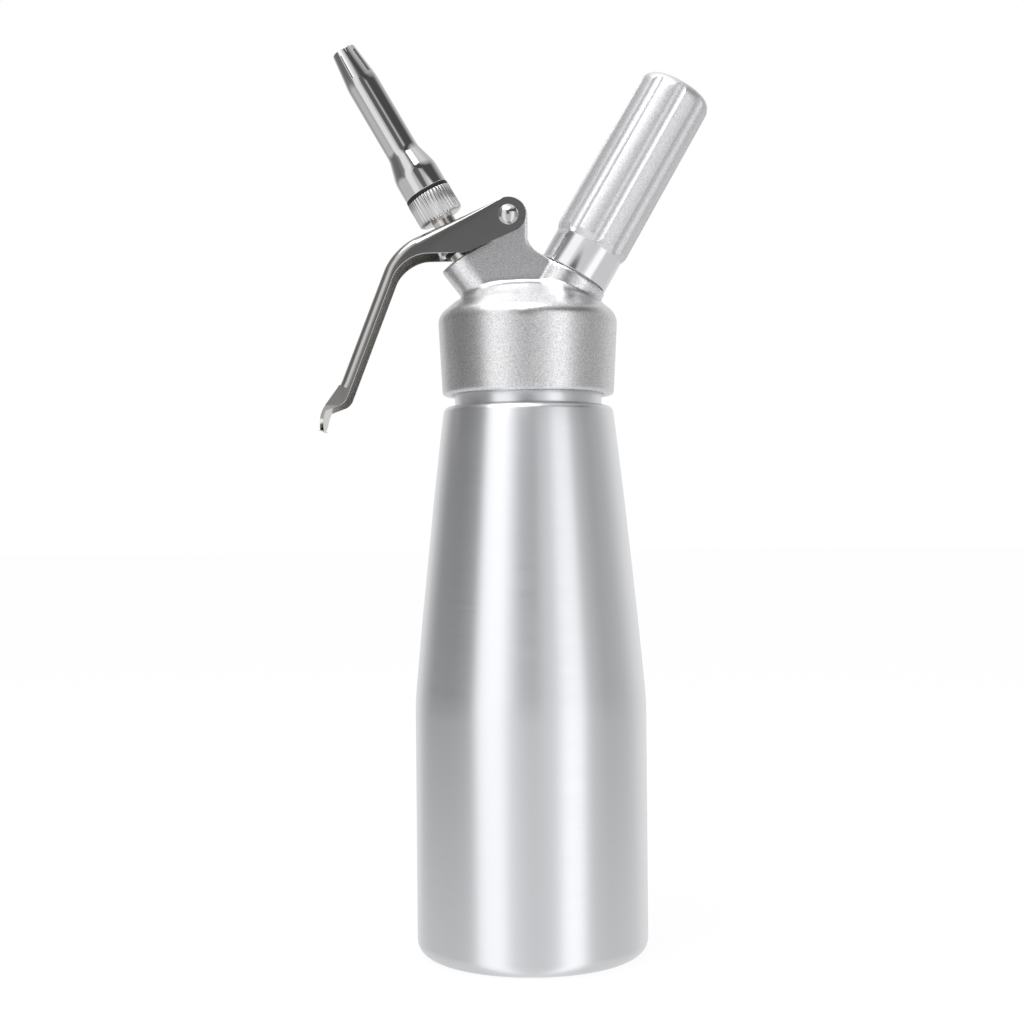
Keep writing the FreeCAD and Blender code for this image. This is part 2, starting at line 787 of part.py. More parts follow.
def lever_side():
    """The flange's outline seen from the side: cheek, throat, handle and the short tongue below it."""
    outer = lever_path(0)
    inner = lever_path(lever_sheet)
    rim = lever_path(lever_flange_depth)
    top = math.radians(180 + lever_top_slope)
    low_x = pivot_x - lever_end_radius * math.sin(top)
    low_z = pivot_z + lever_end_radius * math.cos(top)
    cheek_x = low_x - lever_cheek_reach
    cheek_z = low_z - lever_cheek_reach * math.tan(top)
    throat_z = rim[1][1] + lever_throat_drop
    throat_x = rim[1][0] + lever_throat_drop / math.tan(math.radians(lever_handle_slope))
    flange_end_x = inner[2][0] * lever_rim_share + inner[3][0] * (1 - lever_rim_share)
    flange_end_z = inner[2][1] * lever_rim_share + inner[3][1] * (1 - lever_rim_share)
    side = outer + [
        (inner[4][0], inner[4][1], 0),
        inner[3],
        (flange_end_x, flange_end_z, 0),
        (rim[2][0] - lever_rim_inset, rim[2][1] - lever_rim_drop, lever_rim_round),
        (throat_x, throat_z, lever_throat_radius),
        (cheek_x, cheek_z, lever_cheek_radius),
        (low_x, low_z, 0),
    ]
    return outline(side)


def lever_blank():
    """The folded blank before trimming: round along the folds, flat at the tongue."""
    outer = lever_path(0)
    top = math.radians(180 + lever_top_slope)
    handle = math.radians(180 + lever_handle_slope)
    reach = 40.0
    lead = 12.0
    kick_turn = math.radians(lever_handle_slope - lever_kick_slope)
    kick_start = lever_kick_radius * math.tan(kick_turn / 2) + 0.2
    end_x = outer[2][0] - kick_start * math.cos(handle)
    end_z = outer[2][1] - kick_start * math.sin(handle)
    back_x = end_x - reach * math.sin(handle)
    back_z = end_z + reach * math.cos(handle)
    first_x = outer[0][0] - lead * math.cos(top)
    first_z = outer[0][1] - lead * math.sin(top)
    folded = plate(outline([
        (first_x, first_z, 0),
        outer[1],
        (end_x, end_z, 0),
        (back_x, back_z, 0),
        (first_x, back_z, 0),
    ]), lever_outer)
    path_edges = outline([(first_x, first_z, 0), outer[1], (end_x, end_z, 0)], closed=False).Edges
    folds = []
    for edge in folded.Edges:
        middle = edge.valueAt((edge.FirstParameter + edge.LastParameter) / 2)
        if abs(abs(middle.y) - lever_outer) > 1e-6:
            continue
        point = Part.Vertex(V(middle.x, 0, middle.z))
        if min(path.distToShape(point)[0] for path in path_edges) < 1e-4:
            folds.append(edge)
    folded = folded.makeFillet(lever_fold_radius, folds)
    tongue = plate(outline([
        (end_x, end_z, 0),
        outer[2],
        outer[3],
        outer[4],
        (outer[4][0] + reach, outer[4][1], 0),
        (back_x, back_z, 0),
    ]), lever_outer - lever_tongue_inset)
    return folded, tongue


def make_lever():
    folded, tongue = lever_blank()
    blank = folded.fuse(tongue).common(plate(lever_side(), lever_outer))
    end = crosswise(lever_end_radius, lever_outer, pivot_x, pivot_z)
    blank = blank.fuse(end.common(folded)).removeSplitter()
    outer = lever_path(0)
    inner = lever_path(lever_sheet)
    top = math.radians(180 + lever_top_slope)
    tip = math.radians(180 + lever_tip_slope)
    start_x = inner[0][0] + lever_web_start * math.cos(top)
    start_z = inner[0][1] + lever_web_start * math.sin(top)
    lift = 12.0
    far = 40.0
    hollow = outline([
        (inner[0][0] + far, start_z + lift, 0),
        (start_x, start_z + lift, 0),
        (start_x, start_z, 0),
        inner[1],
        inner[2],
        inner[3],
        (inner[4][0] + far * math.cos(tip), inner[4][1] + far * math.sin(tip), 0),
        (inner[0][0] + far, inner[4][1] - far, 0),
    ])
    channel = blank.cut(plate(hollow, lever_inner))
    corner_cut = lever_tip_rounding(outer[4])
    channel = channel.cut(corner_cut)
    across = lever_slot_half_width
    slot_bottom = collar_bottom - lever_slot_below
    slot_top = collar_bottom + lever_slot_above
    slot = Part.makeBox(lever_slot_front + lever_slot_back, 2 * across, slot_top - slot_bottom,
                        V(-lever_slot_back, -across, slot_bottom))
    channel = channel.cut(on_nozzle_axis(slot))
    rivet_hole = crosswise(rivet_radius, 2 * lever_outer, pivot_x, pivot_z)
    pin_x, pin_z = nozzle_point(press_pin_height, press_pin_offset)
    pin_hole = crosswise(press_pin_radius, 2 * lever_outer, pin_x, pin_z)
    return channel.cut([rivet_hole, pin_hole])


def lever_tip_rounding(tip_point):
    """What is left outside the tongue's round end, as a cutter across its thickness."""
    tip_x, tip_z, unused = tip_point
    half = lever_outer - lever_tongue_inset
    radius = lever_tip_corner
    frame = Part.makeBox(20, 2 * half + 4, radius, V(tip_x - 10, -half - 2, tip_z))
    kept = Part.makeBox(20, 2 * (half - radius), radius, V(tip_x - 10, radius - half, tip_z))
    rounds = [
        Part.makeCylinder(radius, 20, V(tip_x - 10, side * (half - radius), tip_z + radius), V(1, 0, 0))
        for side in (-1, 1)
    ]
    return frame.cut([kept] + rounds)


def make_rivet():
    reach = lever_outer + rivet_head_gap
    shank = crosswise(rivet_radius, reach, pivot_x, pivot_z)
    sphere_radius = (rivet_head_radius ** 2 + rivet_head_height ** 2) / (2 * rivet_head_height)
    centre_reach = reach + rivet_head_height - sphere_radius
    room = 2 * sphere_radius
    heads = []
    for side in (-1, 1):
        ball = Part.makeSphere(sphere_radius, V(pivot_x, side * centre_reach, pivot_z))
        near_y = min(side * reach, side * (reach + room))
        half = Part.makeBox(2 * room, room, 2 * room, V(pivot_x - room, near_y, pivot_z - room))
        heads.append(ball.common(half))
    return shank.fuse(heads).removeSplitter()


def make_press_pin():
    pin_x, pin_z = nozzle_point(press_pin_height, press_pin_offset)
    reach = lever_outer - press_pin_end_inset
    pin = crosswise(press_pin_radius, reach, pin_x, pin_z)
    return pin.cut(crosswise(press_pin_bore_radius, 2 * reach, pin_x, pin_z))


# Charger holder
def make_holder():
    band_top = holder_bottom + holder_band_length
    flare_top = band_top + holder_flare_length
    outer = turned_outline([
        (0, holder_bottom, 0),
        (holder_band_radius, holder_bottom, 0.3),
        (holder_band_radius, band_top, 0),
        (holder_grip_low_radius, flare_top, 0),
        (holder_grip_top_radius, holder_top, holder_end_round),
        (0, holder_top, 0),
    ])
    bore_radius = charger_radius + charger_gap
    bore_top = charger_top - charger_radius
    thread_top = holder_bottom + holder_thread_depth
    thread_bore = rod(holder_thread_radius, holder_bottom - 1, thread_top)
    bore = rod(bore_radius, thread_top - 1, bore_top)
    end = Part.makeSphere(bore_radius, V(0, 0, bore_top))
    flutes = []
    for index in range(holder_flutes):
        angle = math.radians(360.0 * index / holder_flutes - 90 + holder_flute_turn)
        low_reach = holder_grip_low_radius + holder_flute_radius - holder_flute_depth
        top_reach = holder_grip_top_radius + holder_flute_radius - holder_flute_depth
        foot = V(low_reach * math.cos(angle), low_reach * math.sin(angle), band_top + holder_flute_start)
        head = V(top_reach * math.cos(angle), top_reach * math.sin(angle), holder_top + 1)
        direction = head - foot
        flutes.append(Part.makeCylinder(holder_flute_radius, direction.Length, foot, direction))
        flutes.append(Part.makeSphere(holder_flute_radius, foot))
    return outer.cut([thread_bore, bore, end]).cut(flutes)


def make_charger():
    neck_top_z = charger_bottom + charger_neck_length
    shoulder_top = neck_top_z + charger_shoulder_length
    dome_bottom = charger_top - charger_radius
    body = turned_outline([
        (0, charger_bottom, 0),
        (charger_neck_radius, charger_bottom, 0.5),
        (charger_neck_radius, neck_top_z, 0),
        (charger_radius, shoulder_top, 0),
        (charger_radius, dome_bottom, 0),
        (0, dome_bottom, 0),
    ])
    dome = Part.makeSphere(charger_radius, V(0, 0, dome_bottom), V(0, 0, 1), 0, 90, 360)
    pin_room = rod(pin_radius + pin_room_gap, charger_bottom - 1, seal_bottom + pin_length + pin_room_end)
    return body.fuse(dome).removeSplitter().cut(pin_room)


def make_pin_carrier():
    pin_hole = pin_stalk_radius + pin_stalk_gap
    carrier = tube(stud_bore_radius - seal_gap, pin_hole, stud_bore_floor, seal_bottom)
    for turn in (0, 90):
        key = Part.makeBox(2 * stud_bore_radius, carrier_key_width, carrier_key_depth,
                           V(-stud_bore_radius, -carrier_key_width / 2, stud_bore_floor))
        key.rotate(V(0, 0, 0), V(0, 0, 1), turn)
        carrier = carrier.cut(key)
    return carrier


def make_piercing_pin():
    foot = stud_bore_floor + pin_foot_rise
    top = seal_bottom + pin_length
    point_base = top - pin_point
    stalk = rod(pin_stalk_radius, foot, seal_bottom)
    needle = rod(pin_radius, seal_bottom, point_base)
    point = Part.makeCone(pin_radius, pin_tip_radius, pin_point, V(0, 0, point_base))
    return stalk.fuse([needle, point]).removeSplitter().cut(rod(pin_bore_radius, foot - 1, point_base))


def make_charger_seal():
    return tube(stud_bore_radius - seal_gap, charger_seal_bore, seal_bottom, charger_bottom)


def make_check_disc():
    return rod(check_disc_radius, check_face - check_disc_thickness, check_face)


def make_check_retainer():
    top = check_face - check_disc_thickness
    bottom = top - check_retainer_thickness
    ring = rod(check_pocket_radius - seal_gap, bottom, top)
    holes = []
    for index in range(check_holes):
        angle = 2 * math.pi * index / check_holes
        spot = V(check_hole_reach * math.cos(angle), check_hole_reach * math.sin(angle), bottom - 1)
        holes.append(Part.makeCylinder(check_hole_radius, check_retainer_thickness + 2, spot))
    return ring.cut(holes)


save("bottle", make_bottle())
save("head_casting", make_head())
save("head_gasket", make_head_gasket())
valve_seal, valve_washer, valve_nut = make_valve_end()
save("valve_stem", on_nozzle_axis(make_valve_stem()))
save("stem_oring", on_nozzle_axis(make_stem_oring()))
save("valve_seal", on_nozzle_axis(valve_seal))
save("valve_washer", on_nozzle_axis(valve_washer))
save("valve_nut", on_nozzle_axis(valve_nut))
save("guide_bush", on_nozzle_axis(make_guide_bush()))
save("flange_wiper", on_nozzle_axis(make_wiper()))
save("valve_spring", on_nozzle_axis(make_spring()))
save("nozzle_collar", on_nozzle_axis(make_collar()))
save("nozzle_ring", on_nozzle_axis(make_nozzle_ring()))
save("decorating_nozzle", on_nozzle_axis(make_nozzle()))
save("lever", make_lever())
save("lever_rivet", make_rivet())
save("lever_press_pin", make_press_pin())
save("charger_holder", on_holder_axis(make_holder()))
save("gas_charger", on_holder_axis(make_charger()))
save("pin_carrier", on_holder_axis(make_pin_carrier()))
save("piercing_pin", on_holder_axis(make_piercing_pin()))
save("charger_seal", on_holder_axis(make_charger_seal()))
save("check_valve_disc", on_holder_axis(make_check_disc()))
save("check_valve_retainer", on_holder_axis(make_check_retainer()))
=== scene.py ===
import bmesh
import bpy
import math
from mathutils import Matrix, Vector


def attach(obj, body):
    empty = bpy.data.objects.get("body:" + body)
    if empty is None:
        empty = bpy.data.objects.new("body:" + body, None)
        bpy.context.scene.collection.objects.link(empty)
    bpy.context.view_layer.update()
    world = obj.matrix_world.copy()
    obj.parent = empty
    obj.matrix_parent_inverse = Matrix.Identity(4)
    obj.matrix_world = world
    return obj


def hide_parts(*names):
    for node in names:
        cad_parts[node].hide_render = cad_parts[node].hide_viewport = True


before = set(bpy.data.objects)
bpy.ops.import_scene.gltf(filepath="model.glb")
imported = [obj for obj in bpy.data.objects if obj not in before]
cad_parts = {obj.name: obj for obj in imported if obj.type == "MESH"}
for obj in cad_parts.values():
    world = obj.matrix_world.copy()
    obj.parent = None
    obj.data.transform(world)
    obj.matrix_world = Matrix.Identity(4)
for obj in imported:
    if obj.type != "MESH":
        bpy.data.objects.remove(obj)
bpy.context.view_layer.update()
scene = bpy.context.scene
scene.view_settings.view_transform = "Standard"


# Camera. It looks level along +Y from 590 mm in front of the bottle's axis, at half the object's
# height, and is rolled by half a degree because the dispenser leans that much in the photograph.
camera_data = bpy.data.cameras.new("camera")
camera_data.sensor_width = 36.0
camera_data.lens = 59.6
camera_data.clip_start = 0.01
camera = bpy.data.objects.new("camera", camera_data)
camera.location = (-0.0060, -0.590, 0.1524)
camera.rotation_euler = (math.radians(90), 0.0087, 0)
scene.collection.objects.link(camera)
scene.camera = camera


# Studio. A product tent: white behind the object, two tall bright panels in front of it to the left
# and right with dimmer walls between and beyond them, and the dark opening that the camera looks through.
def linear(code):
    """An sRGB hex colour as the linear RGBA that a shader reads."""
    channels = [int(code[i:i + 2], 16) / 255 for i in (1, 3, 5)]
    return [c / 12.92 if c <= 0.04045 else ((c + 0.055) / 1.055) ** 2.4 for c in channels] + [1.0]


def add(tree, kind, links=None, **settings):
    """Adds a node, sets its properties, and links or fills its inputs."""
    node = tree.nodes.new(kind)
    for name, value in settings.items():
        setattr(node, name, value)
    for socket, source in (links or {}).items():
        if isinstance(source, bpy.types.NodeSocket):
            tree.links.new(source, node.inputs[socket])
        else:
            node.inputs[socket].default_value = source
    return node


world = bpy.data.worlds.new("product_tent")
scene.world = world
world.use_nodes = True
tent = world.node_tree
tent.nodes.clear()
direction = add(tent, "ShaderNodeTexCoord").outputs["Generated"]
parts = add(tent, "ShaderNodeSeparateXYZ", {0: direction}).outputs
towards = add(tent, "ShaderNodeMath", {0: parts["Y"], 1: -1.0}, operation="MULTIPLY").outputs[0]
azimuth = add(tent, "ShaderNodeMath", {0: parts["X"], 1: towards}, operation="ARCTAN2").outputs[0]
around = add(tent, "ShaderNodeMapRange", {
    "Value": azimuth, 1: -math.pi, 2: math.pi, 3: 0.0, 4: 1.0}).outputs[0]


def wall(tones):
    """The tent's tone by azimuth, from (degrees, tone) pairs: 0 is towards the camera, 90 to its right."""
    ramp = add(tent, "ShaderNodeValToRGB", {0: around})
    while len(ramp.color_ramp.elements) < len(tones):
        ramp.color_ramp.elements.new(0.5)
    for element, (angle, tone) in zip(ramp.color_ramp.elements, tones):
        element.position = (angle + 180) / 360
        element.color = (tone, tone, tone, 1)
    return ramp.outputs[0]


wide = wall([
    (-180, 0.7), (-150, 0.6), (-118, 0.2), (-84, 0.16), (-63, 0.25), (-53, 0.92), (-30, 0.92), (-22, 0.62),
    (0, 0.58), (15, 0.56), (24, 0.62), (34, 1.0), (50, 1.0), (59, 0.5), (80, 0.31), (104, 0.37), (134, 0.6),
    (180, 0.7),
])
# The right panel is lower than the left one, so what leans back reflects a dark wall on its right.
upper = wall([
    (-180, 0.7), (-118, 0.2), (-66, 0.26), (-56, 0.92), (-30, 0.92), (-20, 0.3), (-6, 0.08), (96, 0.08),
    (134, 0.5), (180, 0.7),
])
raised = add(tent, "ShaderNodeMapRange", {"Value": parts["Z"], 1: 0.42, 2: 0.52, 3: 0.0, 4: 1.0}).outputs[0]
sides = add(tent, "ShaderNodeMix", {0: raised, 6: wide, 7: upper}, data_type="RGBA")
height = add(tent, "ShaderNodeMapRange", {"Value": parts["Z"], 1: 0.7, 2: 0.9, 3: 0.0, 4: 1.0}).outputs[0]
ceiling = add(tent, "ShaderNodeMix", {
    0: height, 6: sides.outputs[2], 7: (0.8, 0.8, 0.8, 1)}, data_type="RGBA")
low = add(tent, "ShaderNodeMapRange", {"Value": parts["Z"], 1: 0.0, 2: -0.26, 3: 0.0, 4: 0.57}).outputs[0]
bounce = add(tent, "ShaderNodeMix", {
    0: 1.0, 6: ceiling.outputs[2], 7: low}, data_type="RGBA", blend_type="LIGHTEN")
port_aim = Vector((-0.05, -1.0, 0.30)).normalized()
port_start = math.cos(math.radians(17))
port_full = math.cos(math.radians(11))
facing = add(tent, "ShaderNodeVectorMath", {
    0: direction, 1: port_aim}, operation="DOT_PRODUCT").outputs["Value"]
port = add(tent, "ShaderNodeMapRange", {
    "Value": facing, 1: port_start, 2: port_full, 3: 0.0, 4: 1.0}).outputs[0]
inside = add(tent, "ShaderNodeMix", {
    0: port, 6: bounce.outputs[2], 7: (0.13, 0.13, 0.135, 1)}, data_type="RGBA")
lit = add(tent, "ShaderNodeBackground", {0: inside.outputs[2], 1: 1.25})
white = add(tent, "ShaderNodeBackground", {0: (1, 1, 1, 1), 1: 1.0})
seen = add(tent, "ShaderNodeLightPath").outputs["Is Camera Ray"]
surround = add(tent, "ShaderNodeMixShader", {0: seen, 1: lit.outputs[0], 2: white.outputs[0]})
add(tent, "ShaderNodeOutputWorld", {0: surround.outputs[0]})

key_data = bpy.data.lights.new("overhead_panel", "AREA")
key_data.shape = "RECTANGLE"
key_data.size = 0.9
key_data.size_y = 0.6
key_data.energy = 5.2
key = bpy.data.objects.new("overhead_panel", key_data)
key.location = (-0.25, -0.35, 1.1)
key.rotation_euler = (Vector(key.location) - Vector((0, 0, 0.15))).to_track_quat("Z", "Y").to_euler()
scene.collection.objects.link(key)

floor_mesh = bpy.data.meshes.new("studio_floor")
floor_bm = bmesh.new()
bmesh.ops.create_grid(floor_bm, x_segments=1, y_segments=1, size=6.0)
floor_bm.to_mesh(floor_mesh)
floor = bpy.data.objects.new("studio_floor", floor_mesh)
scene.collection.objects.link(floor)
paper = bpy.data.materials.new("white_paper_sweep")
paper.use_nodes = True
sheet = paper.node_tree
sheet.nodes.clear()
matt = add(sheet, "ShaderNodeBsdfDiffuse", {"Color": linear("#F2F2F2")})
glow = add(sheet, "ShaderNodeEmission", {"Color": (1, 1, 1, 1), "Strength": 1.03})
paper_seen = add(sheet, "ShaderNodeLightPath").outputs
paper_share = add(sheet, "ShaderNodeMath", {
    0: paper_seen["Is Camera Ray"], 1: 0.9}, operation="MULTIPLY").outputs[0]
paper_mix = add(sheet, "ShaderNodeMixShader", {0: paper_share, 1: matt.outputs[0], 2: glow.outputs[0]})
# Metal reflects the tent's walls down to the table's edge, so the sheet is clear to its reflections.
clear = add(sheet, "ShaderNodeBsdfTransparent")
paper_whole = add(sheet, "ShaderNodeMixShader", {
    0: paper_seen["Is Glossy Ray"], 1: paper_mix.outputs[0], 2: clear.outputs[0]})
add(sheet, "ShaderNodeOutputMaterial", {0: paper_whole.outputs[0]})
floor_mesh.materials.append(paper)


# Bottle. One spun vessel of aluminium with a thick base, a straight body, a long taper, a rolled
# shoulder and a plain neck. It was brushed on the lathe, so fine lines run round it.
def start_metal(name, colour, roughness):
    """A bare metal material with its shader and object coordinates, before its pattern is added."""
    material = bpy.data.materials.new(name)
    material.use_nodes = True
    tree = material.node_tree
    tree.nodes.clear()
    shader = add(tree, "ShaderNodeBsdfPrincipled", {
        "Base Color": linear(colour), "Metallic": 1.0, "Roughness": roughness})
    add(tree, "ShaderNodeOutputMaterial", {0: shader.outputs[0]})
    place = add(tree, "ShaderNodeTexCoord").outputs["Object"]
    return material, tree, shader, place


def brush(tree, shader, place, along, line, depth, spread):
    """Fine parallel lines, line metres wide: noise that is stretched where the scale in along is small."""
    scale = [value / line for value in along]
    stretched = add(tree, "ShaderNodeMapping", {"Vector": place, "Scale": scale}).outputs[0]
    lines = add(tree, "ShaderNodeTexNoise", {
        "Vector": stretched, "Scale": 1.0, "Detail": 3.0, "Roughness": 0.6}).outputs[0]
    bump = add(tree, "ShaderNodeBump", {"Height": lines, "Strength": 1.0, "Distance": depth}).outputs[0]
    tree.links.new(bump, shader.inputs["Normal"])
    base = shader.inputs["Roughness"].default_value
    rough = add(tree, "ShaderNodeMapRange", {
        "Value": lines, 1: 0.3, 2: 0.7, 3: base - spread, 4: base + spread}).outputs[0]
    tree.links.new(rough, shader.inputs["Roughness"])
    return lines


# Brushed aluminium: bright, a little blue, with soft upright bands because each line blurs light up and down.
brushed_aluminium, tree, shader, place = start_metal("brushed_aluminium", "#EDEEF1", 0.32)
shader.inputs["Anisotropic"].default_value = 0.8
up = add(tree, "ShaderNodeCombineXYZ", {"Z": 1.0}).outputs[0]
tree.links.new(up, shader.inputs["Tangent"])
# The real lines are about 0.1 mm apart, drawn 0.45 mm apart so that they show.
brush(tree, shader, place, (0.03, 0.03, 1.0), 0.00045, 0.000006, 0.03)


def line_through(bm, points, segments=8, closed=False):
    """Draws a line in the XZ plane through (x, z, corner radius) points and rounds its corners."""
    corners = [bm.verts.new((x, 0, z)) for x, z, radius in points]
    pairs = list(zip(corners, corners[1:]))
    if closed:
        pairs.append((corners[-1], corners[0]))
    for pair in pairs:
        bm.edges.new(pair)
    for corner, (x, z, radius) in zip(corners, points):
        if radius:
            ways = [edge.other_vert(corner).co - corner.co for edge in corner.link_edges]
            reach = radius / math.tan(ways[0].angle(ways[1]) / 2)
            bmesh.ops.bevel(bm, geom=[corner], offset=reach, affect="VERTICES", segments=segments,
                            profile=0.5, material=-1, clamp_overlap=False)


def spun(points, steps=128, segments=8):
    """A solid of revolution about Z from a closed half-section, in millimetres."""
    bm = bmesh.new()
    line_through(bm, points, segments, closed=True)
    for edge in list(bm.edges):
        if all(abs(vert.co.x) < 1e-6 for vert in edge.verts):
            bm.edges.remove(edge)
    bmesh.ops.spin(bm, geom=bm.verts[:] + bm.edges[:], axis=(0, 0, 1), cent=(0, 0, 0),
                   angle=2 * math.pi, steps=steps, use_merge=True)
    bmesh.ops.remove_doubles(bm, verts=bm.verts[:], dist=1e-4)
    bmesh.ops.recalc_face_normals(bm, faces=bm.faces[:])
    return bm


def finished(name, bm, material, body, replaced=(), sharp=35):
    """Turns a mesh in millimetres into a finished piece in metres, at the origin, on its body."""
    bmesh.ops.scale(bm, vec=(0.001, 0.001, 0.001), verts=bm.verts[:])
    mesh = bpy.data.meshes.new(name)
    bm.to_mesh(mesh)
    bm.free()
    mesh.materials.append(material)
    mesh.shade_smooth()
    mesh.set_sharp_from_angle(angle=math.radians(sharp))
    piece = bpy.data.objects.new(name, mesh)
    scene.collection.objects.link(piece)
    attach(piece, body)
    if replaced:
        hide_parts(*replaced)
    return piece


bottle = spun([
    (0, 0, 0), (40, 0, 5.0), (40, 87.4, 90),
    (35.41, 136.25, 2000), (30.26, 181, 14), (29.2, 188.9, 2.4), (25.5, 189.1, 0.5), (25.5, 194.5, 0),
    (26.3, 194.5, 0.2), (26.3, 207.5, 0.3), (25.2, 207.5, 0), (25.2, 210, 0.3), (22, 210, 0.3),
    (22, 187.5, 6), (28.7, 181, 10),
    (33.91, 136.25, 2000), (38.5, 87.4, 90), (38.5, 3.0, 3.5), (0, 3.0, 0),
], steps=192)
finished("bottle_body", bottle, brushed_aluminium, "bottle", ["bottle"])


# Head. One aluminium casting: a threaded skirt under a dome, from which a flat fin, an oblique nozzle
# boss and the boss of the charger holder rise with soft fillets. It was bead blasted all over.
# Bead blasted aluminium: a fine bright grain that spreads every reflection softly.
blasted_aluminium, tree, shader, place = start_metal("bead_blasted_aluminium", "#DCDCDD", 0.3)
# Grit marks of about 0.2 mm, drawn 0.4 mm wide so that they show.
grit = add(tree, "ShaderNodeTexNoise", {
    "Vector": place, "Scale": 2100.0, "Detail": 2.0, "Roughness": 0.7}).outputs[0]
grit_tone = add(tree, "ShaderNodeMapRange", {"Value": grit, 1: 0.3, 2: 0.7, 3: 0.0, 4: 1.0}).outputs[0]
grit_mix = add(tree, "ShaderNodeMix", {
    0: grit_tone, 6: linear("#C6C6CA"), 7: linear("#FFFFFF")}, data_type="RGBA")
tree.links.new(grit_mix.outputs[2], shader.inputs["Base Color"])
grit_bump = add(tree, "ShaderNodeBump", {"Height": grit, "Strength": 1.0, "Distance": 0.00003}).outputs[0]
tree.links.new(grit_bump, shader.inputs["Normal"])


axis_lean = math.radians(30)
nozzle_axis_height = 203.7
holder_axis_height = 207
pivot = (-6.4, 254.1)
pivot_bore = 2.56
fin_half_width = 9.6


def leaning(bm, tilt, height):
    """Leans a mesh that was made along Z, through a height on the bottle's axis."""
    lean = Matrix.Translation((0, 0, height)) @ Matrix.Rotation(tilt, 4, "Y")
    bmesh.ops.transform(bm, matrix=lean, verts=bm.verts[:])
    return bm


def on_nozzle_axis(bm):
    return leaning(bm, -axis_lean, nozzle_axis_height)


def on_holder_axis(bm):
    return leaning(bm, axis_lean, holder_axis_height)


def plate(points, half_width, segments=8):
    """A flat outline in the XZ plane, in millimetres, thickened to both sides of it."""
    bm = bmesh.new()
    line_through(bm, points, segments, closed=True)
    bmesh.ops.contextual_create(bm, geom=bm.edges[:])
    bmesh.ops.translate(bm, vec=(0, -half_width, 0), verts=bm.verts[:])
    side = bmesh.ops.extrude_face_region(bm, geom=bm.faces[:])["geom"]
    moved = [g for g in side if isinstance(g, bmesh.types.BMVert)]
    bmesh.ops.translate(bm, vec=(0, 2 * half_width, 0), verts=moved)
    bmesh.ops.recalc_face_normals(bm, faces=bm.faces[:])
    return bm


def rod(radius, bottom, top, steps=64):
    bm = bmesh.new()
    bmesh.ops.create_cone(bm, cap_ends=True, segments=steps, radius1=radius, radius2=radius,
                          depth=top - bottom)
    bmesh.ops.translate(bm, vec=(0, 0, (top + bottom) / 2), verts=bm.verts[:])
    return bm


def across(bm, x, z):
    """Turns a mesh that was made along Z to lie along Y through a point of the XZ plane."""
    laid = Matrix.Translation((x, 0, z)) @ Matrix.Rotation(math.radians(90), 4, "X")
    bmesh.ops.transform(bm, matrix=laid, verts=bm.verts[:])
    return bm


def temporary(bm):
    mesh = bpy.data.meshes.new("working")
    bm.to_mesh(mesh)
    bm.free()
    piece = bpy.data.objects.new("working", mesh)
    scene.collection.objects.link(piece)
    return piece


def worked(bm, steps):
    """Applies modifiers to a mesh. A step is a modifier type, its settings and a Boolean's other mesh."""
    piece = temporary(bm)
    others = []
    for kind, settings, other in steps:
        modifier = piece.modifiers.new(kind, kind)
        for name, value in settings.items():
            setattr(modifier, name, value)
        if other is not None:
            others.append(temporary(other))
            modifier.object = others[-1]
    bpy.context.view_layer.update()
    result = bmesh.new()
    result.from_object(piece, bpy.context.evaluated_depsgraph_get())
    for used in [piece] + others:
        mesh = used.data
        bpy.data.objects.remove(used)
        bpy.data.meshes.remove(mesh)
    return result


def joined(bm, others):
    union = {"operation": "UNION", "solver": "EXACT"}
    return worked(bm, [("BOOLEAN", union, other) for other in others])


def cut(bm, others):
    difference = {"operation": "DIFFERENCE", "solver": "EXACT"}
    return worked(bm, [("BOOLEAN", difference, other) for other in others])


shell = spun([
    (0, 219.6, 0), (21, 219.6, 0), (21, 211.8, 0), (26.45, 211.8, 0), (26.45, 192.7, 0), (29.7, 192.7, 1.2),
    (31.15, 220.3, 5.2), (25.4, 225.2, 6.0), (17.5, 230.2, 12), (0, 232.4, 0),
], steps=160)
fin = plate([
    (0.2, 254.1, 0), (0.2, 243.5, 6), (20.0, 232.0, 0), (19.0, 220, 0), (-10.3, 220, 0), (-21.3, 240.7, 0),
    (-13.0, 245.5, 0), (-13.0, 254.1, 0),
], fin_half_width)
eye = across(rod(6.6, -fin_half_width, fin_half_width), *pivot)
nozzle_boss = on_nozzle_axis(rod(9.6, 0, 42.7, steps=96))
for vert in nozzle_boss.verts:
    if vert.co.z < 230:
        vert.co.x += 7.4
holder_boss = on_holder_axis(rod(12.9, 10, 31.7, steps=96))
casting = joined(shell, [fin, eye, nozzle_boss, holder_boss])
casting = worked(casting, [
    ("REMESH", {"mode": "VOXEL", "voxel_size": 0.55, "adaptivity": 0.0}, None),
    ("SMOOTH", {"factor": 0.5, "iterations": 9}, None),
])
stud = on_holder_axis(rod(10.45, 31, 41.7))
casting = joined(casting, [stud])
casting = cut(casting, [
    on_nozzle_axis(rod(6.0, 12, 22)),
    on_nozzle_axis(rod(4.2, 21, 27.5)),
    on_nozzle_axis(rod(3.06, 27, 30)),
    on_nozzle_axis(rod(6.0, 28.8, 39)),
    on_nozzle_axis(rod(6.5, 38.2, 46)),
    on_holder_axis(rod(4.75, 29, 43)),
    across(rod(pivot_bore, -14, 14), *pivot),
])
finished("head_body", casting, blasted_aluminium, "head", ["head_casting"], sharp=50)


# Lever. One blank of 1.2 mm stainless sheet, stamped and folded into a channel that is open below: two
# cheeks at the pivot, a narrowing throat, a long handle and a flat tongue that curls at its end.
# Rolled stainless sheet: a dark even mirror with a very fine grain, and bright cut edges.
rolled_steel, tree, shader, place = start_metal("rolled_stainless_sheet", "#BAB8B6", 0.18)
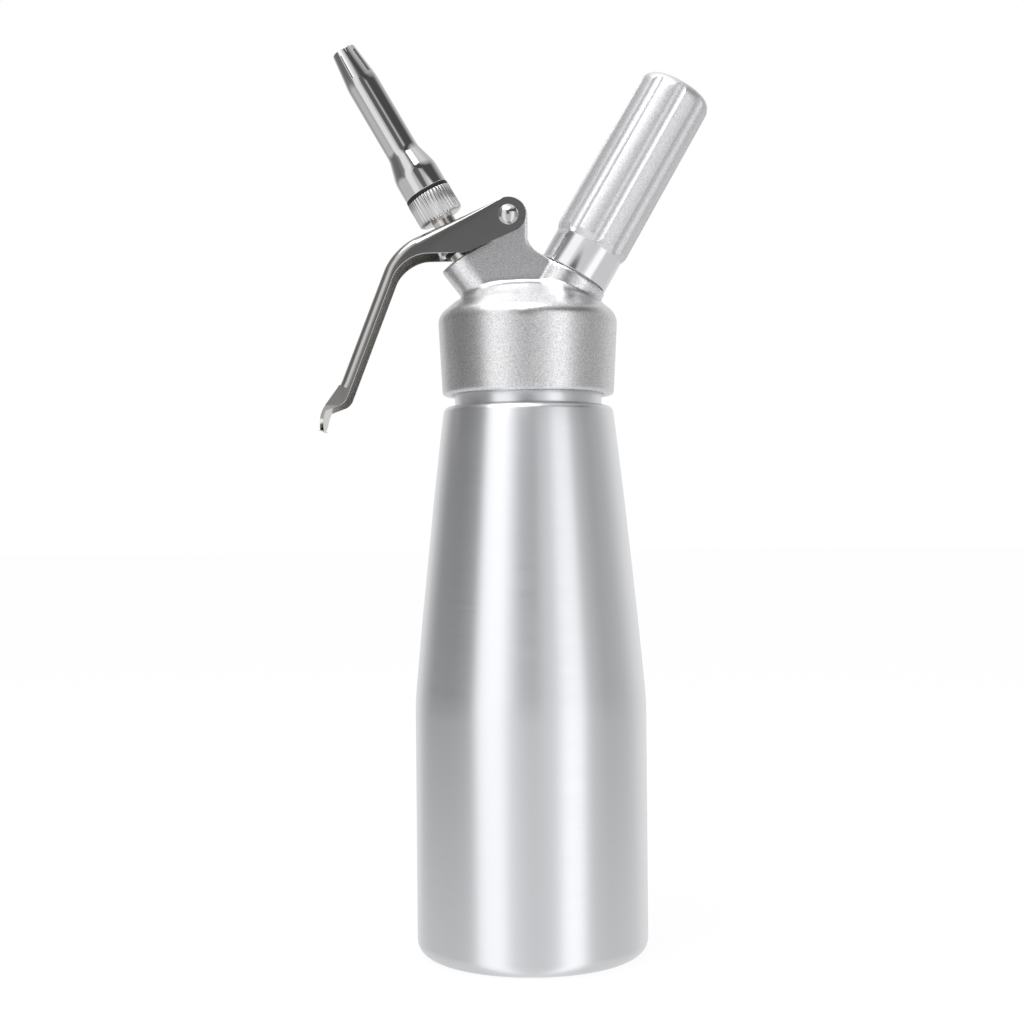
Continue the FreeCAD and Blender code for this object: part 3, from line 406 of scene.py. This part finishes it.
# Rolling lines of about 0.05 mm, drawn 0.35 mm wide so that they show.
brush(tree, shader, place, (1.0, 1.0, 1.0), 0.0005, 0.0000005, 0.02)


lever_sheet = 1.2
lever_end_radius = 6
lever_half_width = 11.1
lever_inner_half_width = 9.9
press_pin = (-30.06, 243.16)
press_pin_radius = 1.3


def lever_line(inset):
    """The web's line from the pivot end to the tip as (x, z, corner radius), moved in by inset."""
    headings = [math.radians(180 + slope) for slope in (23.4, 68.7, 54.0, 82.0)]
    lengths = [50.4, 11.5, 6.3]
    start = Vector((pivot[0] + lever_end_radius * math.sin(headings[0]),
                    pivot[1] - lever_end_radius * math.cos(headings[0])))
    bend = Vector((-46.1, start.y + (-46.1 - start.x) * math.tan(headings[0])))
    points = [start, bend]
    for heading, length in zip(headings[1:], lengths):
        points.append(points[-1] + Vector((math.cos(heading), math.sin(heading))) * length)
    radii = [0, 20 - inset, 14 + inset, 9 - inset, 0]
    moved = []
    for index, point in enumerate(points):
        before = headings[max(index - 1, 0)]
        after = headings[min(index, 3)]
        middle = (before + after) / 2
        shift = inset / math.cos((after - before) / 2)
        moved.append((point.x - shift * math.sin(middle), point.y + shift * math.cos(middle), radii[index]))
    return moved


outer = lever_line(0)
inner = lever_line(lever_sheet)
rim = lever_line(3.7)
top = math.radians(203.4)
low = (pivot[0] - lever_end_radius * math.sin(top), pivot[1] + lever_end_radius * math.cos(top))
beyond = (lever_end_radius * math.cos(top), lever_end_radius * math.sin(top))
side_outline = [(outer[0][0] - beyond[0], outer[0][1] - beyond[1], 5.98)] + outer[1:] + [
    (inner[4][0], inner[4][1], 0), inner[3],
    (inner[2][0] * 0.1 + inner[3][0] * 0.9, inner[2][1] * 0.1 + inner[3][1] * 0.9, 0),
    (rim[2][0] - 1.6, rim[2][1] - 4.6, 4.5),
    (rim[1][0] + 0.16, rim[1][1] + 0.4, 13.0),
    (low[0] - 16.8, low[1] - 16.8 * math.tan(top), 6.0),
    (low[0] - beyond[0], low[1] - beyond[1], 5.98),
]
lever = plate(side_outline, lever_half_width, segments=14)


def fold(bm, half_width, radius, low_end):
    """Rounds the long edges on both sides of the web, where the sheet is folded, down to low_end."""
    edges = []
    for edge in bm.edges:
        middle = (edge.verts[0].co + edge.verts[1].co) / 2
        walls = [face for face in edge.link_faces if abs(face.normal.y) < 0.5]
        if abs(abs(middle.y) - half_width) > 1e-4 or not walls or middle.x > -9 or middle.z < low_end:
            continue
        if walls[0].normal.dot(Vector((-0.707, 0, 0.707))) > 0.4:
            edges.append(edge)
    bmesh.ops.bevel(bm, geom=edges, offset=radius, affect="EDGES", segments=5, profile=0.5, material=-1)
    return bm


lever = fold(lever, lever_half_width, 3.0, outer[2][1])
tip = math.radians(262)
start = (inner[0][0] + 9.5 * math.cos(top), inner[0][1] + 9.5 * math.sin(top))
hollow = plate([
    (inner[0][0] + 40, start[1] + 12, 0), (start[0], start[1] + 12, 0), (start[0], start[1], 0),
    inner[1], inner[2], inner[3],
    (inner[4][0] + 40 * math.cos(tip), inner[4][1] + 40 * math.sin(tip), 0),
    (inner[0][0] + 40, inner[4][1] - 40, 0),
], lever_inner_half_width, segments=14)


def block(centre, lengths):
    """A box in millimetres about a centre."""
    bm = bmesh.new()
    bmesh.ops.create_cube(bm, size=1)
    bmesh.ops.transform(bm, matrix=Matrix.Translation(centre) @ Matrix.Diagonal((*lengths, 1)),
                        verts=bm.verts[:])
    return bm


lever = cut(lever, [
    hollow,
    on_nozzle_axis(block((0.5, 0, 53.8), (13, 9.6, 18))),
    across(rod(2.52, -14, 14), *pivot),
    across(rod(press_pin_radius, -14, 14, steps=32), *press_pin),
])
tongue_cut = block((outer[4][0], 0, outer[4][1] + 4.25), (20, 24, 8.5))
tongue_keep = block((outer[4][0], 0, outer[4][1] + 8.5), (24, 20.8, 17))
corners = [edge for edge in tongue_keep.edges
           if all(abs(vert.co.z - outer[4][1]) < 1e-4 and abs(vert.co.y) > 1 for vert in edge.verts)
           and edge.verts[0].co.y * edge.verts[1].co.y > 0]
bmesh.ops.bevel(tongue_keep, geom=corners, offset=8.45, affect="EDGES", segments=10, profile=0.5, material=-1)
lever = cut(lever, [cut(tongue_cut, [tongue_keep])])
finished("lever_channel", lever, rolled_steel, "lever", ["lever"], sharp=30)


# Lever pivot. A stainless rivet through both cheeks and the casting's eye, with a domed head each side
# that is pressed up and polished like a mirror.
# Polished stainless steel: a clear mirror, a little darker and warmer than aluminium.
polished_steel, tree, shader, place = start_metal("polished_stainless_steel", "#D0CFCF", 0.05)
ripple = add(tree, "ShaderNodeTexNoise", {"Vector": place, "Scale": 120.0, "Detail": 1.0}).outputs[0]
ripple_bump = add(tree, "ShaderNodeBump", {"Height": ripple, "Strength": 0.3, "Distance": 0.00005}).outputs[0]
tree.links.new(ripple_bump, shader.inputs["Normal"])
rivet = spun([
    (0, 13.0, 0), (2.0, 12.65, 4), (3.5, 11.3, 0.3), (3.5, 11.12, 0), (2.46, 11.12, 0), (2.46, 0, 0),
    (0, 0, 0),
], steps=64)
half = rivet.verts[:] + rivet.edges[:] + rivet.faces[:]
bmesh.ops.mirror(rivet, geom=half, axis="Z", merge_dist=0.001)
middle = [face for face in rivet.faces if all(abs(vert.co.z) < 1e-4 for vert in face.verts)]
bmesh.ops.delete(rivet, geom=middle, context="FACES")
bmesh.ops.remove_doubles(rivet, verts=rivet.verts[:], dist=1e-4)
bmesh.ops.recalc_face_normals(rivet, faces=rivet.faces[:])
finished("pivot_rivet", across(rivet, *pivot), polished_steel, "lever", ["lever_rivet"])


# Press pin. A stainless pin held in both cheeks just above the valve's disc and ground flush with them.
# It passes the lever's push to the disc.
pin = spun([
    (0, -11.05, 0), (press_pin_radius, -11.05, 0), (press_pin_radius, 11.05, 0), (0, 11.05, 0),
], steps=40)
finished("press_pin", across(pin, *press_pin), rolled_steel, "lever", ["lever_press_pin"])


# Valve stem. A turned stainless stem with a hub and a disc. The press pin pushes the disc down, the
# cream flows up through the stem's bore.
# Turned stainless steel: bright, with fine rings from the lathe tool.
turned_steel, tree, shader, place = start_metal("turned_stainless_steel", "#CFCCC8", 0.16)
# Tool marks of about 0.15 mm, drawn 0.4 mm apart so that they show. They lie across the valve's axis.
upright = add(tree, "ShaderNodeMapping", {"Vector": place, "Rotation": (0, axis_lean, 0)}).outputs[0]
brush(tree, shader, upright, (0.02, 0.02, 1.0), 0.0004, 0.00001, 0.05)
stem = spun([
    (0, 15.2, 0), (3, 15.2, 0.3), (3, 38, 0), (4.5, 38, 0), (4.5, 46.6, 0), (7, 46.6, 0.35), (7, 47.8, 0.35),
    (4.8, 47.8, 0.2), (4.8, 49.4, 0.3), (4, 49.4, 0), (4, 71, 0.5), (1.8, 71, 0), (1.8, 23, 0), (0, 23, 0),
], steps=96)
finished("stem_and_disc", on_nozzle_axis(stem), turned_steel, "valve", ["valve_stem"])


# Rubber rings. The ring under the disc is black as painted shade, where the disc shades the hub below it, and
# the ring between collar and nozzle is moulded black rubber.
# Nitrile rubber: black, matt, with a soft sheen where it bends.
# This black is also the painted shade of the ring under the disc.
rubber_and_painted_shade, tree, shader, place = start_metal("nitrile_rubber_and_painted_shade", "#151515", 0.55)
shader.inputs["Metallic"].default_value = 0.0
skin = add(tree, "ShaderNodeTexNoise", {"Vector": place, "Scale": 1800.0, "Detail": 2.0}).outputs[0]
skin_bump = add(tree, "ShaderNodeBump", {"Height": skin, "Strength": 1.0, "Distance": 0.00002}).outputs[0]
tree.links.new(skin_bump, shader.inputs["Normal"])
# The black ring under the disc is painted shade, standing where the disc shades the hub.
painted_shade_ring = spun([(4.52, 45.6, 0.1), (5.8, 45.6, 0.3), (5.8, 46.6, 0.3), (4.52, 46.6, 0.1)], steps=72)
finished("painted_shade_ring_under_disc", on_nozzle_axis(painted_shade_ring), rubber_and_painted_shade, "valve", ["flange_wiper"])
seat_ring = spun([(6.55, 68.4, 0.1), (8.0, 68.4, 0.35), (8.0, 69.6, 0.35), (6.55, 69.6, 0.1)], steps=96)
finished("nozzle_seat_ring", on_nozzle_axis(seat_ring), rubber_and_painted_shade, "nozzle_ring",
         ["nozzle_ring"])


# Nozzle collar. Turned aluminium with bevelled rims and a straight knurl for the fingers. It is screwed
# on the stem and carries the nozzle on its spigot.
# Turned aluminium: bright and slightly soft, with a fine grain.
turned_aluminium, tree, shader, place = start_metal("turned_aluminium", "#D9D9DA", 0.26)
grain = add(tree, "ShaderNodeTexNoise", {"Vector": place, "Scale": 2400.0, "Detail": 2.0}).outputs[0]
grain_bump = add(tree, "ShaderNodeBump", {"Height": grain, "Strength": 1.0, "Distance": 0.00001}).outputs[0]
tree.links.new(grain_bump, shader.inputs["Normal"])
collar = spun([
    (4.02, 58.8, 0), (7.2, 58.8, 0.2), (8.1, 59.7, 0), (8.1, 68.1, 0), (7.8, 68.4, 0), (6.4, 68.4, 0),
    (6.4, 73.8, 0.4), (4.02, 73.8, 0),
], steps=320)
knurl_ridges = 40
knurl_depth = 0.035
for vert in collar.verts:
    if math.hypot(vert.co.x, vert.co.y) > 8.0:
        ridge = math.cos(knurl_ridges * math.atan2(vert.co.y, vert.co.x))
        pull = 1 - knurl_depth * (0.5 - 0.5 * ridge) ** 0.7
        vert.co.x *= pull
        vert.co.y *= pull
finished("knurled_collar", on_nozzle_axis(collar), turned_aluminium, "valve",
         ["nozzle_collar"], sharp=50)


# Decorating nozzle. A drawn stainless tube with a wider socket, a flare and a tapered tip that five saw
# cuts divide. It is polished all over.
nozzle = spun([
    (6.6, 69.6, 0.2), (7.9, 69.6, 0.3), (7.9, 77.3, 9), (5.7, 85.2, 9), (5.7, 113.5, 20), (4.2, 126.5, 0.35),
    (3.3, 126.5, 0.2), (4.8, 113.5, 10), (4.8, 84.9, 4), (6.6, 76.6, 2),
], steps=144, segments=10)
saw = bmesh.new()
slots = 5
slot_width = 1.3
for index in range(slots):
    blade = bmesh.ops.create_cube(saw, size=1)["verts"]
    turn = Matrix.Rotation(math.radians(360 / slots * index - 113), 4, "Z")
    shape = Matrix.Translation((6, 0, 122.5)) @ Matrix.Diagonal((10, slot_width, 14, 1))
    bmesh.ops.transform(saw, matrix=turn @ shape, verts=blade)
nozzle = cut(nozzle, [saw])
finished("polished_nozzle", on_nozzle_axis(nozzle), polished_steel, "nozzle",
         ["decorating_nozzle"])


# Charger holder. A turned aluminium sleeve with a polished band at its foot, a short flare, nine round
# flutes for grip and a rounded end. The grip is blasted and clear anodised.
# Blasted anodised aluminium: pale, matt and even, with a fine sparkle.
anodised, tree, shader, place = start_metal("blasted_anodised_aluminium", "#E9E9EA", 0.46)
speck = add(tree, "ShaderNodeTexNoise", {
    "Vector": place, "Scale": 2300.0, "Detail": 2.0, "Roughness": 0.7}).outputs[0]
speck_tone = add(tree, "ShaderNodeMapRange", {"Value": speck, 1: 0.3, 2: 0.7, 3: 0.0, 4: 1.0}).outputs[0]
speck_mix = add(tree, "ShaderNodeMix", {
    0: speck_tone, 6: linear("#CFCFD2"), 7: linear("#F8F8F9")}, data_type="RGBA")
tree.links.new(speck_mix.outputs[2], shader.inputs["Base Color"])
speck_bump = add(tree, "ShaderNodeBump", {"Height": speck, "Strength": 1.0, "Distance": 0.00003}).outputs[0]
tree.links.new(speck_bump, shader.inputs["Normal"])
# Polished aluminium: a bright mirror with faint rings round it.
bright_band, tree, shader, place = start_metal("polished_aluminium", "#E6E6E8", 0.12)
level = add(tree, "ShaderNodeMapping", {"Vector": place, "Rotation": (0, -axis_lean, 0)}).outputs[0]
brush(tree, shader, level, (0.02, 0.02, 1.0), 0.0004, 0.000006, 0.03)
holder = bmesh.new()
line_through(holder, [
    (10.6, 32.0, 0.2), (12.5, 32.0, 0.3), (12.5, 43.3, 0), (13.3, 45.8, 1.0), (12.9, 107, 4.5), (0, 107, 0),
    (0, 99.8, 0), (9.6, 99.8, 9.5), (9.6, 43, 0), (10.6, 43, 0),
], segments=12, closed=True)
grip_edges = [e for e in holder.edges if e.calc_length() > 40 and min(v.co.x for v in e.verts) > 11]
bmesh.ops.subdivide_edges(holder, edges=grip_edges, cuts=30)
flare_edges = [e for e in holder.edges
               if 43 < min(v.co.z for v in e.verts) and max(v.co.z for v in e.verts) < 50
               and min(v.co.x for v in e.verts) > 12.4]
bmesh.ops.subdivide_edges(holder, edges=flare_edges, cuts=6)
for edge in list(holder.edges):
    if all(abs(vert.co.x) < 1e-6 for vert in edge.verts):
        holder.edges.remove(edge)
bmesh.ops.spin(holder, geom=holder.verts[:] + holder.edges[:], axis=(0, 0, 1), cent=(0, 0, 0),
               angle=2 * math.pi, steps=360, use_merge=True)
bmesh.ops.remove_doubles(holder, verts=holder.verts[:], dist=1e-4)
bmesh.ops.recalc_face_normals(holder, faces=holder.faces[:])
flute_step = math.radians(360 / 9)
flute_radius = 2.9
flute_start = 44.9
for vert in holder.verts:
    radius = math.hypot(vert.co.x, vert.co.y)
    if radius < 10 or vert.co.z < 43.2:
        continue
    angle = math.atan2(vert.co.y, vert.co.x) - math.radians(5 - 90)
    nearest = angle - round(angle / flute_step) * flute_step
    reach = 15.25 - 0.4 * (vert.co.z - flute_start) / 63
    tool = math.sqrt(max(flute_radius ** 2 - max(flute_start - vert.co.z, 0) ** 2, 0))
    side = reach * math.sin(nearest)
    if abs(side) < tool:
        cut_radius = reach * math.cos(nearest) - math.sqrt(tool ** 2 - side ** 2)
        if cut_radius < radius:
            vert.co.x *= cut_radius / radius
            vert.co.y *= cut_radius / radius
grip_faces = [face.calc_center_median().z > 43.4 for face in holder.faces]
holder_piece = finished("holder_sleeve", on_holder_axis(holder), bright_band, "holder",
                        ["charger_holder"], sharp=28)
holder_piece.data.materials.append(anodised)
for polygon, is_grip in zip(holder_piece.data.polygons, grip_faces):
    polygon.material_index = 1 if is_grip else 0


# Inner parts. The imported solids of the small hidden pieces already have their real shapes, so they only
# take their materials: brass, rubber, silicone, plastic and steel. The valve spring is one of them, and
# it keeps its rest length at every pose.
# Turned brass: warm and satin.
brass, tree, shader, place = start_metal("turned_brass", "#C9A463", 0.22)
brush(tree, shader, place, (0.02, 0.02, 1.0), 0.0003, 0.000008, 0.04)
# Acetal plastic: white, smooth and slightly waxy.
acetal, tree, shader, place = start_metal("moulded_acetal", "#E6E4DE", 0.38)
shader.inputs["Metallic"].default_value = 0.0
waxy = add(tree, "ShaderNodeTexNoise", {"Vector": place, "Scale": 500.0, "Detail": 2.0}).outputs[0]
waxy_rough = add(tree, "ShaderNodeMapRange", {"Value": waxy, 1: 0.3, 2: 0.7, 3: 0.33, 4: 0.43}).outputs[0]
tree.links.new(waxy_rough, shader.inputs["Roughness"])
# Silicone rubber: grey, matt and a little translucent to the eye.
silicone, tree, shader, place = start_metal("moulded_silicone", "#9A9A98", 0.5)
shader.inputs["Metallic"].default_value = 0.0
soft = add(tree, "ShaderNodeTexNoise", {"Vector": place, "Scale": 1200.0, "Detail": 2.0}).outputs[0]
soft_bump = add(tree, "ShaderNodeBump", {"Height": soft, "Strength": 1.0, "Distance": 0.00002}).outputs[0]
tree.links.new(soft_bump, shader.inputs["Normal"])
# Drawn spring wire: grey and satin, with lines along it too fine to show.
spring_wire, tree, shader, place = start_metal("drawn_spring_wire", "#8F8F90", 0.28)
drawn = add(tree, "ShaderNodeTexNoise", {"Vector": place, "Scale": 900.0, "Detail": 2.0}).outputs[0]
drawn_rough = add(tree, "ShaderNodeMapRange", {"Value": drawn, 1: 0.3, 2: 0.7, 3: 0.22, 4: 0.34}).outputs[0]
tree.links.new(drawn_rough, shader.inputs["Roughness"])
inner_finishes = {
    "head_gasket": silicone, "stem_oring": rubber_and_painted_shade, "valve_seal": rubber_and_painted_shade, "valve_washer": turned_steel,
    "valve_nut": turned_steel, "guide_bush": acetal, "gas_charger": turned_steel, "pin_carrier": brass,
    "piercing_pin": polished_steel, "charger_seal": rubber_and_painted_shade, "check_valve_disc": rubber_and_painted_shade,
    "check_valve_retainer": brass,
    "valve_spring": spring_wire,
}
for node, material in inner_finishes.items():
    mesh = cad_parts[node].data
    mesh.materials.clear()
    mesh.materials.append(material)

bpy.context.view_layer.update()
